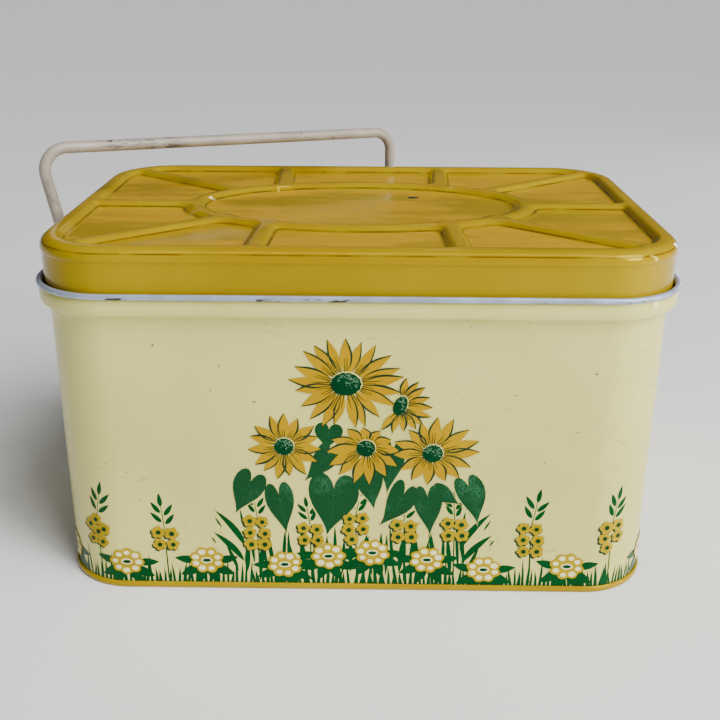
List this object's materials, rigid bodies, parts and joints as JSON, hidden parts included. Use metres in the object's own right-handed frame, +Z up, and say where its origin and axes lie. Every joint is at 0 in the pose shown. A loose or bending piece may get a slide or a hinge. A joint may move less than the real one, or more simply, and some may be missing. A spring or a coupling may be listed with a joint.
{
  "type": "metal lunch box",
  "caption": "Oblong steel picnic tin with a stepped collar, an embossed lift-off plug lid and a wire bail handle turned aside.",
  "frame": {"origin": "on the table under the centre of the body, in the plane of the bottom seam", "axes": "+Z up, +X along the long side to the viewer's right, +Y to the back, where the bail's rear leg stands"},
  "size_m": [0.2723, 0.1867, 0.1744],
  "materials": {
    "litho_cream": "gloss",
    "yellow_enamel": "gloss",
    "white_paint": "satin",
    "bare_steel": "satin",
    "litho_petal": "gloss",
    "litho_blossom": "gloss",
    "litho_green": "gloss",
    "litho_line": "gloss",
    "litho_white": "gloss"
  },
  "bodies": {
    "box": {"body_wrap": "litho_cream", "rim_wire": "bare_steel", "bottom_pan": "yellow_enamel", "rear_ear": "bare_steel", "ear_rivets": "bare_steel"},
    "lid": {"lid": "yellow_enamel"},
    "bail": {"bail": "white_paint"}
  },
  "joints": [
    {"name": "lid_lift", "type": "slide", "parent": "box", "child": "lid", "axis": [0, 0, 1], "range_m": [0, 0.013]},
    {"name": "bail_turn", "type": "hinge", "parent": "box", "child": "bail", "pos_m": [0.0145, 0.094, 0.12], "axis": [0, 0, -1], "range_deg": [0, 150]}
  ]
}
